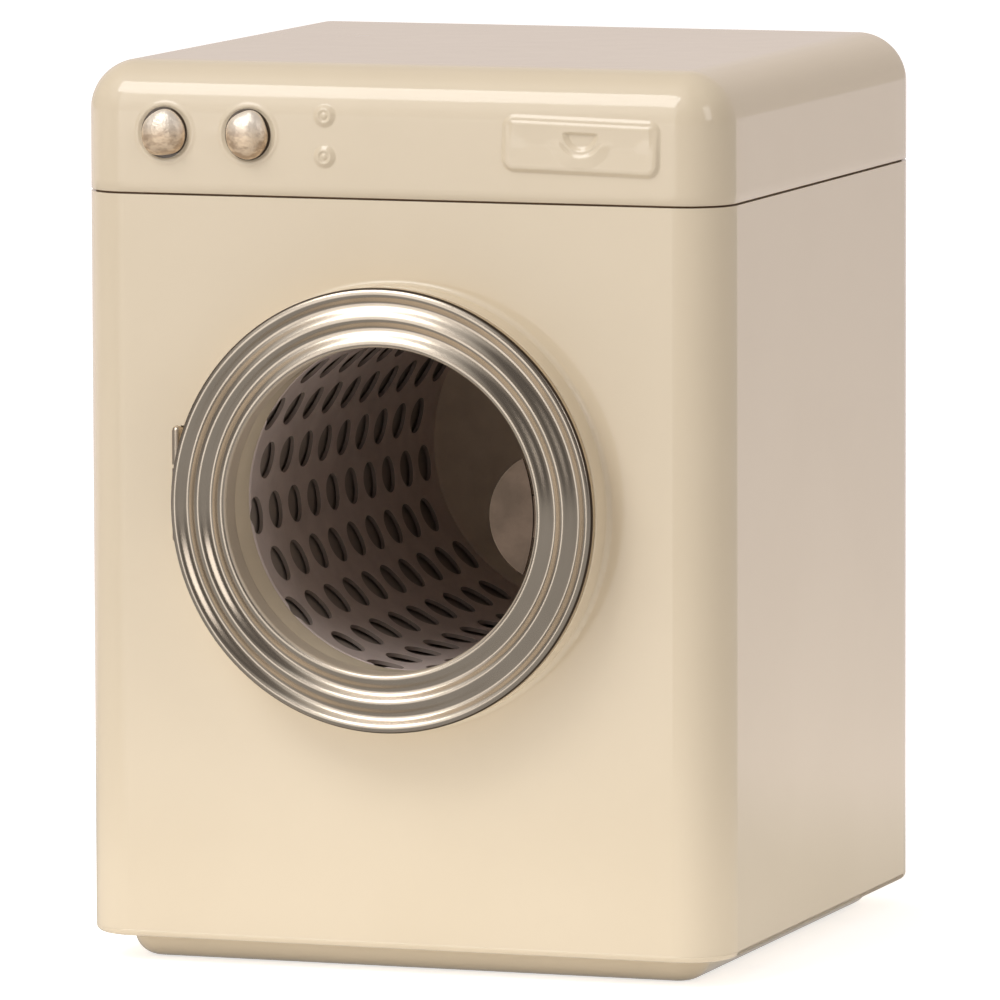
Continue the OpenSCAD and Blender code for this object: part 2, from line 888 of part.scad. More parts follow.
// Domed dial, standing just clear of its seat
module dial(x) {
    rise = knob_h - knob_rim_h;
    ball_r = (knob_r * knob_r + rise * rise) / (2 * rise);
    color(rose_brass)
        on_front(x, knob_axis_z)
            intersection() {
                cylinder(h = knob_h + cut, r = knob_r);
                translate([0, 0, knob_h - ball_r])
                    sphere(r = ball_r);
            }
}

dial_washer_depth = seat_depth + sheet_t + 0.1;

// Shank of a dial, closed over the washer behind the front
module dial_shank(x) {
    tail = dial_washer_depth + washer_t;
    color(zinc)
        on_front(x, knob_axis_z) {
            translate([0, 0, -tail])
                cylinder(h = tail, r = shank_r);
            translate([0, 0, -tail - 0.6])
                cylinder(h = 0.6, r = shank_r + 0.7);
        }
}

module dial_washer(x) {
    color(zinc)
        on_front(x, knob_axis_z)
            translate([0, 0, -dial_washer_depth - washer_t])
                linear_extrude(washer_t)
                    difference() {
                        circle(r = shank_r + 1.6);
                        circle(r = shank_r);
                    }
}

cabinet_shell();
top_cover();
cover_frame();
back_panel();
base_pan();
back_rivets();
base_rivets();
cover_rivets();
tub();
bearing_bush();
hinge_bracket();
hinge_pin();
door_ring();
door_back_plate();
finger_tab();
drum_shell();
drum_back_plate();
drum_hub();
drum_shaft();
shaft_washer();
shaft_clip();
dial(left_knob_x);  // left_dial
dial_shank(left_knob_x);  // left_dial_shank
dial_washer(left_knob_x);  // left_dial_washer
dial(right_knob_x);  // right_dial
dial_shank(right_knob_x);  // right_dial_shank
dial_washer(right_knob_x);  // right_dial_washer
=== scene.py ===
"""Looks of a miniature toy washing machine in enamelled sheet steel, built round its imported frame.

Every length is in metres and every piece lies in the frame's own coordinates: +Z is up, the front
faces -Y and the origin is the middle of the plinth's underside.
"""
from __future__ import annotations

import logging
import math
from dataclasses import dataclass
from enum import Enum
from functools import partialmethod
from typing import Any, Sequence

import bpy
import numpy as np
from mathutils import Matrix, Vector

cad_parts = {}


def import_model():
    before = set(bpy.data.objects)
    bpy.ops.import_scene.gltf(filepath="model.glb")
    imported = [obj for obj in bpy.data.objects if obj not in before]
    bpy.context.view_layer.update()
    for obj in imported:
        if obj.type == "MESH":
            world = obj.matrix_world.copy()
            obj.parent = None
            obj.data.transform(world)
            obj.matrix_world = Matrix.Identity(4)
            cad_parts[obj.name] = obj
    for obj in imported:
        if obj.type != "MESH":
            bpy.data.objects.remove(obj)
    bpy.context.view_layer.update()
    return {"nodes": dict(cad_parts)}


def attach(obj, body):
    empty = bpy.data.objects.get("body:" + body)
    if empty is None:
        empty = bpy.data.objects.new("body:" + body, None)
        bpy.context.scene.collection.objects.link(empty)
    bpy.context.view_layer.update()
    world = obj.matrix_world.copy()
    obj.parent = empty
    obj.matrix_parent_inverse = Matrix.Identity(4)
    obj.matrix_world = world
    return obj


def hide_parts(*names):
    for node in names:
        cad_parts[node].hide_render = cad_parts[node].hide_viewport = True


log = logging.getLogger("toy_washer")
MM = 0.001
Socket = bpy.types.NodeSocket
Colour = tuple[float, float, float]
Triple = tuple[float, float, float]
Pair = tuple[float, float]
Profile = tuple[Pair, ...]


# Shader graph

class Value:
    """A number or a socket in a shader graph, with operators that add Math nodes."""

    def __init__(self, graph: "Graph", source: Any) -> None:
        """Keep the source.

        Args:
            graph: The graph that new nodes go into.
            source: A number or an output socket.
        """
        self.graph = graph
        self.source = source

    def maths(self, operation: str, *others: Any) -> "Value":
        """Apply one Math operation to this value and others.

        Args:
            operation: The Math node's operation.
            others: Numbers or values for its other inputs.

        Returns:
            The result as a value.
        """
        made = self.graph.node("ShaderNodeMath", dict(enumerate((self, *others))), operation=operation)
        return Value(self.graph, made.outputs[0])

    # Operators, one Math node each
    __add__ = __radd__ = partialmethod(maths, "ADD")
    __sub__ = partialmethod(maths, "SUBTRACT")
    __mul__ = partialmethod(maths, "MULTIPLY")
    __truediv__ = partialmethod(maths, "DIVIDE")
    __pow__ = partialmethod(maths, "POWER")

    def __rsub__(self, other: Any) -> "Value":
        """Difference with this value on the right."""
        return Value(self.graph, other).maths("SUBTRACT", self)

    def between(self, low: float, high: float) -> "Value":
        """Smooth step that runs from 0 at low to 1 at high."""
        made = self.graph.node("ShaderNodeMapRange", {0: self, 1: low, 2: high, 3: 0.0, 4: 1.0},
                               interpolation_type="SMOOTHSTEP")
        return Value(self.graph, made.outputs[0])


class Graph:
    """A node tree that starts empty and is filled by short calls."""

    def __init__(self, tree: bpy.types.NodeTree) -> None:
        """Empty the tree.

        Args:
            tree: The tree of a material or a world.
        """
        self.tree = tree
        self.tree.nodes.clear()

    def node(self, kind: str, inputs: dict[Any, Any] | None = None, **settings: Any) -> bpy.types.Node:
        """Add a node, set it up and fill its sockets.

        Args:
            kind: The node's type name.
            inputs: Socket names or numbers, each with a number, a colour, a socket or a Value.
            settings: Attributes to set first.

        Returns:
            The new node.
        """
        made = self.tree.nodes.new(kind)
        for key, value in settings.items():
            setattr(made, key, value)
        for key, value in (inputs or {}).items():
            self.feed(made.inputs[key], value)
        return made

    def feed(self, target: Socket, value: Any) -> None:
        """Link or set one input socket.

        Args:
            target: The socket to fill.
            value: A Value, an output socket, a number or a colour.
        """
        source = value.source if isinstance(value, Value) else value
        if isinstance(source, Socket):
            self.tree.links.new(source, target)
        elif isinstance(source, tuple) and target.type == "RGBA":
            target.default_value = (*source, 1.0)
        else:
            target.default_value = source

    def place(self) -> Socket:
        """Object coordinates of the point that is shaded."""
        return self.node("ShaderNodeTexCoord").outputs["Object"]

    def axes(self, vector: Socket) -> tuple[Value, Value, Value]:
        """The three parts of a vector as values."""
        made = self.node("ShaderNodeSeparateXYZ", {0: vector})
        return tuple(Value(self, made.outputs[i]) for i in range(3))

    def noise(self, vector: Socket, period: float, detail: float = 2.0, roughness: float = 0.5) -> Value:
        """Noise between 0 and 1 with the given period in metres."""
        inputs = {"Vector": vector, "Scale": 1.0 / period, "Detail": detail, "Roughness": roughness}
        return Value(self, self.node("ShaderNodeTexNoise", inputs).outputs[0])

    def stretched(self, vector: Socket, scale: Triple) -> Socket:
        """A vector scaled along each axis."""
        return self.node("ShaderNodeMapping", {"Vector": vector, "Scale": scale}).outputs[0]

    def blend(self, factor: Value, a: Any, b: Any) -> Socket:
        """Colour that runs from a to b as the factor runs from 0 to 1."""
        return self.node("ShaderNodeMix", {0: factor, 6: a, 7: b}, data_type="RGBA").outputs[2]

    def light(self, colour: Any, strength: Any = 1.0, kind: str = "ShaderNodeEmission") -> Socket:
        """Output of an emission or background node."""
        return self.node(kind, {"Color": colour, "Strength": strength}).outputs[0]

    def switch(self, ray: Socket, other: Any, chosen: Any) -> Socket:
        """Shader that is the chosen one for a kind of ray and the other one for the rest."""
        return self.node("ShaderNodeMixShader", {0: ray, 1: other, 2: chosen}).outputs[0]

    def joined(self, a: Any, b: Any) -> Socket:
        """Sum of two shaders."""
        return self.node("ShaderNodeAddShader", {0: a, 1: b}).outputs[0]

    def relief(self, height: Value, depth: float, normal: Socket | None = None) -> Socket:
        """Bump normal from a height of 0 to 1 that stands for the given depth in metres."""
        inputs = {"Height": height, "Distance": depth, "Strength": 1.0}
        if normal is not None:
            inputs["Normal"] = normal
        return self.node("ShaderNodeBump", inputs).outputs[0]


class MaterialGraph(Graph):
    """One material's node tree around a Principled BSDF."""

    def __init__(self, name: str) -> None:
        """Make the material with its shader and output.

        Args:
            name: Name of the material.
        """
        self.material = bpy.data.materials.new(name)
        self.material.use_nodes = True
        super().__init__(self.material.node_tree)
        self.output = self.node("ShaderNodeOutputMaterial")
        self.shader = self.node("ShaderNodeBsdfPrincipled")
        self.feed(self.output.inputs["Surface"], self.shader.outputs[0])

    def set(self, **inputs: Any) -> None:
        """Fill the Principled BSDF's sockets, an underscore standing for a space in their names."""
        for key, value in inputs.items():
            self.feed(self.shader.inputs[key.replace("_", " ")], value)


def length(a: Value, b: Value) -> Value:
    """Length of two parts at a right angle: the root of the sum of their squares."""
    return (a * a + b * b) ** 0.5


def facing(x: Value, y: Value, azimuth_deg: float) -> Value:
    """Cosine of the level angle between a direction and an azimuth counted from the front to the right."""
    turn = math.radians(azimuth_deg)
    return (x * math.sin(turn) - y * math.cos(turn)) / (length(x, y) + 0.001)


# Finishes

@dataclass(frozen=True)
class Enamel:
    """Sprayed gloss enamel on sheet steel, with a faint orange peel and slight unevenness of tone."""

    colour: Colour
    deep: Colour
    roughness: float = 0.06
    peel_period: float = 1.4 * MM
    peel_depth: float = 0.0012 * MM
    dent_period: float = 30 * MM
    dent_depth: float = 0.05 * MM
    cloud_edges: Pair = (0.35, 0.7)
    gloss_period: float = 5 * MM
    gloss_swing: float = 0.05
    # Painted shade under the dials' rims: the dials' centres, the ring's radii, its stretch upwards, its
    # front limit and its colour
    shaded_seats: tuple[Pair, ...] = ()
    seat_r: Pair = (3.5 * MM, 3.66 * MM)
    seat_tall: float = 1.06
    seat_back_y: Pair = (-40 * MM, -39 * MM)
    seat_shade_colour: Colour = (0.11, 0.08, 0.055)

    def build(self, name: str) -> bpy.types.Material:
        """Make the material, with painted shade in a dark ring under the rim of each dial that stands on it.

        Args:
            name: Its name.

        Returns:
            The material.
        """
        g = MaterialGraph(name)
        spot = g.place()
        x, y, z = g.axes(spot)
        cloud = g.noise(spot, self.dent_period, 3.0).between(*self.cloud_edges)
        peel = g.noise(spot, self.peel_period, 1.0)
        dents = g.noise(spot, self.dent_period, 0.0)
        normal = g.relief(dents, self.dent_depth)
        tone = g.blend(cloud, self.colour, self.deep)
        # Painted shade: a dark ring round each dial's centre, under its rim, on the front only
        for centre_x, centre_z in self.shaded_seats:
            off_x, off_z = x - centre_x, (z - centre_z) * (1.0 / self.seat_tall)
            under = 1.0 - length(off_x, off_z).between(*self.seat_r)
            tone = g.blend(under * (1.0 - y.between(*self.seat_back_y)), tone, self.seat_shade_colour)
        g.set(Base_Color=tone, Metallic=0.0, IOR=1.5,
              Roughness=g.noise(spot, self.gloss_period, 2.0) * self.gloss_swing + self.roughness,
              Normal=g.relief(peel, self.peel_depth, normal))
        return g.material


@dataclass(frozen=True)
class SpunMetal:
    """Plated metal with fine circular tool lines round an axis that runs along Y."""

    colour: Colour
    dark: Colour
    centre_z: float
    roughness: float = 0.17
    line_period: float = 0.12 * MM
    line_depth: float = 0.0015 * MM
    line_dulling: float = 0.08
    cloud_period: float = 9 * MM
    cloud_edges: Pair = (0.3, 0.75)
    cloud_dulling: float = 0.05
    bore_colour: Colour = (0.56, 0.475, 0.365)
    bore_r: Pair = (24.1 * MM, 24.4 * MM)
    bore_dulling: float = 0.3
    bore_coat: float = 0.85
    # Painted shade down the rim's outer side: its colour, radii, reach and dulling
    skirt_shade_colour: Colour = (0.07, 0.05, 0.035)
    edge_r: Pair = (32.38 * MM, 32.55 * MM)
    edge_y: Pair = (-55.6 * MM, -55.5 * MM)
    edge_dulling: float = 0.2

    def build(self, name: str) -> bpy.types.Material:
        """Make the material, satin in the bore, with painted shade darkening the rim's side.

        Args:
            name: Its name.

        Returns:
            The material.
        """
        g = MaterialGraph(name)
        spot = g.place()
        x, y, z = g.axes(spot)
        radius = length(x, z - self.centre_z)
        ring = g.node("ShaderNodeCombineXYZ", {0: radius, 1: y, 2: 0.0}).outputs[0]
        lines = g.noise(ring, self.line_period, 2.0)
        cloud = g.noise(spot, self.cloud_period, 3.0).between(*self.cloud_edges)
        bore = 1.0 - radius.between(*self.bore_r)
        # Painted shade: the rim's outer side is darkened, in place of the shadow between ring and boss
        edge = radius.between(*self.edge_r) * (1.0 - y.between(*self.edge_y))
        tone = g.blend(bore, g.blend(cloud, self.colour, self.dark), self.bore_colour)
        g.set(Base_Color=g.blend(edge, tone, self.skirt_shade_colour), Metallic=1.0 - bore * self.bore_coat,
              Roughness=(lines * self.line_dulling + cloud * self.cloud_dulling + bore * self.bore_dulling
                         + edge * self.edge_dulling + self.roughness),
              Normal=g.relief(lines, self.line_depth))
        return g.material


@dataclass(frozen=True)
class PlainMetal:
    """Rolled or turned metal, or dull enamel, with a fine grain and a slight cloud."""

    colour: Colour
    dark: Colour
    roughness: float = 0.35
    metallic: float = 1.0
    grain_stretch: Triple = (1.0, 1.0, 1.0)
    grain_period: float = 0.5 * MM
    grain_depth: float = 0.003 * MM
    grain_dulling: float = 0.15
    cloud_period: float = 7 * MM
    cloud_edges: Pair = (0.3, 0.7)
    cloud_dulling: float = 0.08

    def build(self, name: str) -> bpy.types.Material:
        """Make the material.

        Args:
            name: Its name.

        Returns:
            The material.
        """
        g = MaterialGraph(name)
        spot = g.place()
        grain = g.noise(g.stretched(spot, self.grain_stretch), self.grain_period, 3.0)
        cloud = g.noise(spot, self.cloud_period, 4.0, 0.6).between(*self.cloud_edges)
        tone, metallic = self.coat(g, spot, g.blend(cloud, self.colour, self.dark))
        g.set(Base_Color=tone, Metallic=metallic,
              Roughness=grain * self.grain_dulling + cloud * self.cloud_dulling + self.roughness,
              Normal=g.relief(grain, self.grain_depth))
        return g.material

    def coat(self, g: MaterialGraph, spot: Socket, tone: Any) -> tuple[Any, Any]:
        """The tone and the metallic share, the same all over."""
        return tone, self.metallic


@dataclass(frozen=True)
class DrumSheet(PlainMetal):
    """Dull plated sheet of the drum, darker and not metallic on the cut walls of its holes and outside."""

    roughness: float = 0.5
    metallic: float = 0.25
    grain_stretch: Triple = (1.0, 0.15, 1.0)
    grain_period: float = 0.4 * MM
    hole_colour: Colour = (0.30, 0.25, 0.22)
    centre_z: float = 0.0
    cut_r: Pair = (25.11 * MM, 25.15 * MM)

    def coat(self, g: MaterialGraph, spot: Socket, tone: Any) -> tuple[Any, Any]:
        """The tone and the metallic share, the cut walls told apart by their distance from the drum's axis.

        Args:
            g: The material's graph.
            spot: The point that is shaded.
            tone: The sheet's own tone.

        Returns:
            The tone and the metallic share.
        """
        x, _, z = g.axes(spot)
        cut = length(x, z - self.centre_z).between(*self.cut_r)
        return g.blend(cut, tone, self.hole_colour), self.metallic - cut * self.metallic


@dataclass(frozen=True)
class HammeredMetal:
    """Polished rose metal, tumbled until its surface is finely mottled."""

    colour: Colour
    dark: Colour
    roughness: float = 0.3
    metallic: float = 0.55
    speck_period: float = 0.45 * MM
    speck_depth: float = 0.10 * MM
    speck_dulling: float = 0.16
    stroke: Triple = (0.45, 1.0, 1.0)
    stroke_period: float = 0.8 * MM
    stroke_edges: Pair = (0.35, 0.65)
    # Painted highlight that pales the dial towards its crown
    crown_highlight_colour: Colour = (1.0, 0.90, 0.77)
    crown_z: Pair = (122.6 * MM, 126.0 * MM)
    # Painted shade in the groove behind the dial's rim
    groove_shade_colour: Colour = (0.09, 0.065, 0.045)
    rim_y: Pair = (-49.1 * MM, -48.95 * MM)

    def build(self, name: str) -> bpy.types.Material:
        """Make the material, with a painted highlight that pales it towards the crown and painted shade in
        the groove behind the dial's rim.

        Args:
            name: Its name.

        Returns:
            The material.
        """
        g = MaterialGraph(name)
        spot = g.place()
        speck = g.noise(spot, self.speck_period, 3.0, 0.6)
        cloud = g.noise(g.stretched(spot, self.stroke), self.stroke_period, 2.0).between(*self.stroke_edges)
        _, y, z = g.axes(spot)
        # Painted highlight: paler colour towards the crown
        tone = g.blend(z.between(*self.crown_z), g.blend(cloud, self.colour, self.dark), self.crown_highlight_colour)
        # Painted shade: dark in the groove behind the rim
        tone = g.blend(y.between(*self.rim_y), tone, self.groove_shade_colour)
        g.set(Base_Color=tone, Metallic=self.metallic,
              Roughness=speck * self.speck_dulling + self.roughness,
              Normal=g.relief(speck, self.speck_depth))
        return g.material


# The photograph's camera and the studio

@dataclass
class PhotoCamera:
    """The camera that took the photograph, found from the cabinet's edges."""

    place: Triple = (0.540139, -1.551012, 0.251517)
    yaw_deg: float = 19.2320
    pitch_deg: float = 6.4710
    roll_deg: float = -0.1797
    lens: float = 395.04
    sensor: float = 36.0
    clip: Pair = (0.05, 20.0)

    def build(self) -> None:
        """Make the camera and set it as the scene's."""
        yaw, pitch, roll = (math.radians(a) for a in (self.yaw_deg, self.pitch_deg, self.roll_deg))
        ahead = Vector((-math.sin(yaw) * math.cos(pitch), math.cos(yaw) * math.cos(pitch), -math.sin(pitch)))
        level = Vector((math.cos(yaw), math.sin(yaw), 0.0))
        above = level.cross(ahead)
        right = level * math.cos(roll) + above * math.sin(roll)
        up = above * math.cos(roll) - level * math.sin(roll)
        data = bpy.data.cameras.new("photo_camera")
        data.lens = self.lens
        data.sensor_width = self.sensor
        data.clip_start, data.clip_end = self.clip
        camera = bpy.data.objects.new("photo_camera", data)
        turn = Matrix((right, up, -ahead)).transposed().to_4x4()
        camera.matrix_world = Matrix.Translation(Vector(self.place)) @ turn
        bpy.context.scene.collection.objects.link(camera)
        bpy.context.scene.camera = camera


@dataclass(frozen=True)
class Softbox:
    """One rectangular studio light, placed by its direction from the object and facing it."""

    name: str
    azimuth_deg: float
    elevation_deg: float
    width_deg: float
    height_deg: float
    radiance: float
    colour: Colour = (1.0, 1.0, 1.0)
    distance: float = 1.6
    aim: Triple = (0.0, -0.03, 0.075)

    def build(self) -> None:
        """Make the light, its azimuth counted from the front to the right."""
        across, above = math.radians(self.azimuth_deg), math.radians(self.elevation_deg)
        towards = Vector((math.sin(across) * math.cos(above), -math.cos(across) * math.cos(above),
                          math.sin(above)))
        data = bpy.data.lights.new(self.name, "AREA")
        data.shape = "RECTANGLE"
        data.size = 2 * self.distance * math.tan(math.radians(self.width_deg / 2))
        data.size_y = 2 * self.distance * math.tan(math.radians(self.height_deg / 2))
        data.energy = self.radiance * data.size * data.size_y * math.pi
        data.color = self.colour
        lamp = bpy.data.objects.new(self.name, data)
        lamp.location = Vector(self.aim) + towards * self.distance
        lamp.rotation_euler = (-towards).to_track_quat("-Z", "Y").to_euler()
        bpy.context.scene.collection.objects.link(lamp)


@dataclass
class Studio:
    """White studio: a pale floor, a white world for the camera and softboxes for the object."""

    white: Colour = (1.0, 1.0, 1.0)
    walls: Colour = (0.42, 0.40, 0.39)
    back_walls: Colour = (0.95, 0.885, 0.87)
    zenith: Colour = (0.64, 0.60, 0.585)
    wall_z: Pair = (0.0, 0.75)
    mirrored_walls: Colour = (0.23, 0.215, 0.205)
    mirrored_back_walls: Colour = (0.67, 0.59, 0.565)
    mirrored_zenith: Colour = (0.26, 0.245, 0.24)
    mirrored_wall_z: Pair = (0.35, 0.90)
    back_y: Pair = (0.2, 0.8)
    gap_azimuth_deg: float = 60.0
    gap_edges: Pair = (0.60, 0.80)
    gap_z: Pair = (0.45, 0.80)
    gap_depth: float = 0.84
    mirrored_gap_azimuth_deg: float = 42.0
    mirrored_gap_edges: Pair = (0.93, 0.98)
    mirrored_gap_depth: float = 0.5
    halo_from: Triple = (-0.369, -0.527, 0.766)
    halo_edges: Pair = (0.74, 0.97)
    floor_half: float = 4.0
    floor_paint: Colour = (0.86, 0.84, 0.82)
    floor_roughness: float = 0.9
    floor_lift: float = 0.62
    floor_tone: Colour = (0.70, 0.68, 0.66)
    floor_glow: Colour = (0.985, 0.965, 0.955)
    near_glow: float = 0.98
    near_edges: Pair = (0.035, 0.07)
    near_end: Pair = (0.075, 0.16)
    mirrored_glow: float = 0.42
    column_glow: float = 1.0
    column_azimuth_deg: float = -21.0
    column_edges: Pair = (0.95, 0.985)
    column_start: Pair = (0.15, 0.3)
    rear_glow: float = 0.5
    rear_tint: Colour = (1.0, 0.90, 0.92)
    rear_slope: float = 0.5
    rear_edges: Pair = (-0.105, -0.015)
    rear_start: Pair = (0.05, 0.20)
    # Azimuth, elevation, width and height in degrees, then radiance and colour
    boxes: tuple[Softbox, ...] = (
        Softbox("key_softbox", -32.0, 49.5, 30.0, 23.0, 5.3, (1.0, 0.985, 0.98)),
        Softbox("column_softbox", -21.0, 15.5, 26.0, 45.0, 1.2, (1.0, 0.98, 0.97)),
        Softbox("right_softbox", 66.0, 22.0, 15.0, 28.0, 2.5, (1.0, 0.97, 0.96)),
    )

    def build(self) -> None:
        """Make the world, the floor and the lights."""
        self.build_world()
        self.build_floor()
        for box in self.boxes:
            box.build()
        log.info("studio with %d softboxes", len(self.boxes))

    def build_world(self) -> None:
        """White to the camera. To the object pale walls that change upwards, with a dark gap at the right.

        A direction's height runs the walls into the zenith, its depth runs them into the paler back walls,
        and the cosine of its angle to the gap darkens it. Mirrored rays get colours and a gap of their own.
        """
        world = bpy.data.worlds.new("studio_world")
        world.use_nodes = True
        g = Graph(world.node_tree)
        x, y, z = g.axes(g.node("ShaderNodeTexCoord").outputs["Generated"])
        paths = g.node("ShaderNodeLightPath").outputs
        glossy = Value(g, paths["Is Glossy Ray"])
        dull = 1.0 - glossy
        wide = facing(x, y, self.gap_azimuth_deg).between(*self.gap_edges) * (1.0 - z.between(*self.gap_z))
        narrow = facing(x, y, self.mirrored_gap_azimuth_deg).between(*self.mirrored_gap_edges)
        shade = 1.0 - wide * dull * self.gap_depth - narrow * glossy * self.mirrored_gap_depth
        low = g.blend(glossy, self.walls, self.mirrored_walls)
        back = g.blend(glossy, self.back_walls, self.mirrored_back_walls)
        top = g.blend(glossy, self.zenith, self.mirrored_zenith)
        rise = z.between(*self.wall_z) * dull + z.between(*self.mirrored_wall_z) * glossy
        walls = g.blend(rise, g.blend(y.between(*self.back_y), low, back), top)
        towards = sum(axis * part for axis, part in zip((x, y, z), self.halo_from))
        walls = g.blend(glossy * towards.between(*self.halo_edges), walls, self.white)
        lit = g.light(walls, shade, "ShaderNodeBackground")
        seen = g.light(self.white, kind="ShaderNodeBackground")
        g.node("ShaderNodeOutputWorld", {"Surface": g.switch(paths["Is Camera Ray"], lit, seen)})
        bpy.context.scene.world = world

    def build_floor(self) -> None:
        """Wide pale floor that reads white to the camera and keeps a faint shadow.

        To the object it is a dull floor with a glowing band round the plinth, and in mirrored rays it glows,
        more in a column at the front and behind a slanting line at the rear.
        """
        h = self.floor_half
        corners = np.array([[-h, -h, 0], [h, -h, 0], [h, h, 0], [-h, h, 0]], dtype=np.float32)
        floor = add_mesh("studio_floor", corners, np.array([[0, 1, 2, 3]]), smooth=False)
        g = MaterialGraph("studio_floor")
        g.set(Base_Color=self.floor_paint, Roughness=self.floor_roughness, Specular_IOR_Level=0.0)
        x, y, _ = g.axes(g.place())
        away = length(x, y)
        column = facing(x, y, self.column_azimuth_deg).between(*self.column_edges)
        column = column * away.between(*self.column_start)
        rear = (y * self.rear_slope - x).between(*self.rear_edges) * y.between(*self.rear_start)
        glow = column * self.column_glow + rear * self.rear_glow + self.mirrored_glow
        mirrored = g.light(g.blend(rear, self.floor_glow, self.rear_tint), glow)
        square = x.maths("ABSOLUTE").maths("MAXIMUM", y.maths("ABSOLUTE"))
        band = square.between(*self.near_edges) * (1.0 - away.between(*self.near_end)) * self.near_glow
        dull = g.node("ShaderNodeBsdfDiffuse", {"Color": self.floor_tone}).outputs[0]
        unseen = g.joined(dull, g.light(self.floor_glow, band))
        seen = g.joined(g.shader.outputs[0], g.light(self.white, self.floor_lift))
        paths = g.node("ShaderNodeLightPath").outputs
        unseen = g.switch(paths["Is Glossy Ray"], unseen, mirrored)
        g.feed(g.output.inputs["Surface"], g.switch(paths["Is Camera Ray"], unseen, seen))
        floor.data.materials.append(g.material)


# Mesh building

def add_mesh(name: str, points: np.ndarray, faces: np.ndarray, smooth: bool = True) -> bpy.types.Object:
    """Put points and equal-sided faces into a new mesh object at the origin.

    Args:
        name: Name of the object and its mesh.
        points: N by 3 array of places in metres.
        faces: M by 3 or M by 4 array of point numbers, counted anticlockwise from outside.
        smooth: Whether the faces are smooth shaded.

    Returns:
        The new object.
    """
    mesh = bpy.data.meshes.new(name)
    sides = faces.shape[1]
    mesh.vertices.add(len(points))
    mesh.vertices.foreach_set("co", np.asarray(points, dtype=np.float32).ravel())
    mesh.loops.add(faces.size)
    mesh.loops.foreach_set("vertex_index", np.asarray(faces, dtype=np.int32).ravel())
    mesh.polygons.add(len(faces))
    mesh.polygons.foreach_set("loop_start", np.arange(0, faces.size, sides, dtype=np.int32))
    mesh.polygons.foreach_set("use_smooth", np.full(len(faces), smooth))
    mesh.update(calc_edges=True)
    mesh.validate()
    made = bpy.data.objects.new(name, mesh)
    bpy.context.scene.collection.objects.link(made)
    return made


def grid_faces(rows: int, columns: int, closed: bool) -> np.ndarray:
    """Quads over a grid of points that is counted row by row.

    Args:
        rows: Number of rows.
        columns: Number of points in a row.
        closed: Whether the last column joins the first.

    Returns:
        M by 4 array of point numbers, which turns from the columns' way to the rows' way.
    """
    row = np.arange(rows - 1)[:, None] * columns
    column = np.arange(columns if closed else columns - 1)[None, :]
    after = (column + 1) % columns
    corners = (row + column, row + after, row + columns + after, row + columns + column)
    return np.stack([c.ravel() for c in corners], axis=1)


def weld(points: np.ndarray, faces: np.ndarray) -> tuple[np.ndarray, np.ndarray]:
    """Join points that lie in one place and split the quads into triangles, dropping the empty ones.

    Args:
        points: N by 3 array of places in millimetres.
        faces: M by 4 array of point numbers.

    Returns:
        The points that are left and the triangles between them.
    """
    cells_per_mm = 1e4
    keys = np.round(points * cells_per_mm).astype(np.int64)
    _, first, number = np.unique(keys, axis=0, return_index=True, return_inverse=True)
    quads = number.ravel()[faces]
    triangles = np.concatenate([quads[:, [0, 1, 2]], quads[:, [0, 2, 3]]])
    a, b, c = triangles.T
    return points[first], triangles[(a != b) & (b != c) & (c != a)]


def swept(centres: np.ndarray, turns: np.ndarray, radii: np.ndarray, heights: np.ndarray) -> np.ndarray:
    """Carry a section round an outline: each centre plus the section's radius along its way out.

    Args:
        centres: N by 2 array of places round the outline.
        turns: Angle from +X of the way out of each.
        radii: Distance of each point of the section from the centres.
        heights: Height of each point of the section.

    Returns:
        Array of the section's points by N by 3.
    """
    ways = np.stack([np.cos(turns), np.sin(turns)], axis=1)
    flat = centres[None] + radii[:, None, None] * ways[None]
    high = np.broadcast_to(heights[:, None, None], (*flat.shape[:2], 1))
    return np.concatenate([flat, high], axis=2)


def soft_step(value: np.ndarray, start: float, end: float) -> np.ndarray:
    """Smooth step from 0 at the start to 1 at the end: three squares less two cubes of the way between."""
    way = np.clip((value - start) / (end - start), 0.0, 1.0)
    return way * way * (3.0 - 2.0 * way)


def along(value: np.ndarray, profile: Profile, blur: float = 0.09) -> np.ndarray:
    """Height of a pressed profile at each distance, its corners rounded by a mean of shifted readings.

    Args:
        value: Distances from the profile's start in millimetres.
        profile: Distance and height of each corner, in rising order.
        blur: Width over which the corners are rounded.

    Returns:
        The heights.
    """
    places, heights = np.array(profile).T
    shifts = np.linspace(-blur, blur, 5)
    return sum(np.interp(value + shift, places, heights) for shift in shifts) / len(shifts)


def evened(path: np.ndarray, spacing: float, blur: float) -> np.ndarray:
    """Resample a path evenly and round its corners by a Gaussian mean, its ends kept by mirroring.

    Args:
        path: N by 2 array of places along the path.
        spacing: Distance between the new points.
        blur: Length over which the corners are rounded.

    Returns:
        The new path.
    """
    step = np.hypot(*np.diff(path, axis=0).T)
    travelled = np.concatenate([[0.0], np.cumsum(step)])
    least_count, tail = 8, 2.5 * blur
    count = max(int(round(travelled[-1] / spacing)), least_count)
    places = np.linspace(0.0, travelled[-1], count + 1)
    even = np.stack([np.interp(places, travelled, path[:, i]) for i in range(2)], axis=1)
    reach = max(int(round(tail / spacing)), 1)
    weights = np.exp(-0.5 * (np.arange(-reach, reach + 1) * spacing / blur) ** 2)
    weights /= weights.sum()
    before = 2 * even[0] - even[reach:0:-1]
    after = 2 * even[-1] - even[-2:-reach - 2:-1]
    padded = np.concatenate([before, even, after])
    return np.stack([np.convolve(padded[:, i], weights, mode="valid") for i in range(2)], axis=1)


